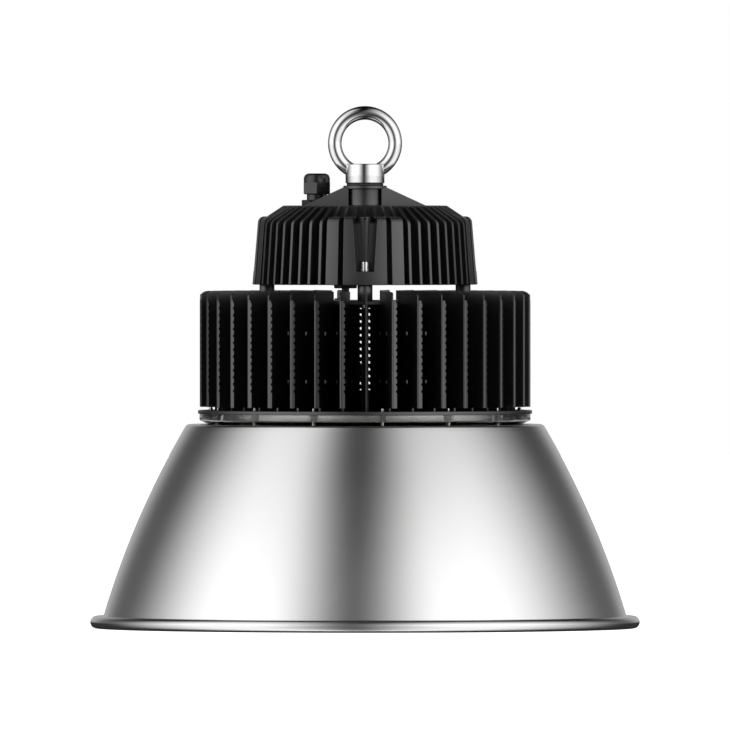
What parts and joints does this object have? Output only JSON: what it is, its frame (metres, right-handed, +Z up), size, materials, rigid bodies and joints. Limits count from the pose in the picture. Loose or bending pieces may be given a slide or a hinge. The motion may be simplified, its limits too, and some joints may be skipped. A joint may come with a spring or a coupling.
{
  "type": "high bay light",
  "caption": "High bay light: ribbed round driver with a lifting eye on posts over a ring of sheet fins, a clear lens and a spun bell reflector.",
  "frame": {"origin": "centre of the reflector's rim, on the plane that the rim stands on", "axes": "+Z up through the lifting eye, -Y the front: the eye's ring lies in the XZ plane, and the supply gland is at the back left"},
  "size_m": [0.4676, 0.4676, 0.4442],
  "materials": {
    "spun_aluminium": "spun aluminium with a fine turned grain",
    "clear_lens": "clear moulded polycarbonate, gloss",
    "black_rubber": "black rubber",
    "dark_plate": "satin black plate",
    "white_board": "white lacquered metal board",
    "chip_yellow": "yellow phosphor",
    "bright_screw": "bright zinc plated steel",
    "fin_black": "black anodised sheet, satin",
    "housing_black": "fine textured black powder coat",
    "circuit_green": "green circuit board",
    "transformer_wrap": "yellow wound core",
    "capacitor_sleeve": "dark shrink sleeve",
    "gland_plastic": "black moulded plastic",
    "lead_jacket": "black round lead",
    "polished_steel": "polished stainless steel"
  },
  "bodies": {
    "root": {"reflector": "spun_aluminium", "lens": "clear_lens", "lens_gasket": "black_rubber", "base_plate": "dark_plate", "led_board": "white_board", "led_chips": "chip_yellow", "clamp_screws": "bright_screw", "fins_front_right": "fin_black", "fins_back_right": "fin_black", "fins_back_left": "fin_black", "fins_front_left": "fin_black", "short_fins": "fin_black", "mounting_disc": "fin_black", "post_front": "housing_black", "post_right": "housing_black", "post_back": "housing_black", "post_left": "housing_black", "driver_screws": "bright_screw", "disc_screws": "bright_screw", "driver_housing": "housing_black", "driver_cover": "housing_black", "cover_screws": "bright_screw", "driver_circuit": "circuit_green", "driver_transformer": "transformer_wrap", "driver_capacitors": "capacitor_sleeve", "gland_body": "gland_plastic", "gland_nut": "gland_plastic", "gland_seal": "black_rubber", "gland_locknut": "gland_plastic", "output_plug": "gland_plastic", "lead_gland": "gland_plastic", "output_lead": "lead_jacket", "eye_washer": "black_rubber", "eye_bolt": "polished_steel"}
  },
  "joints": []
}
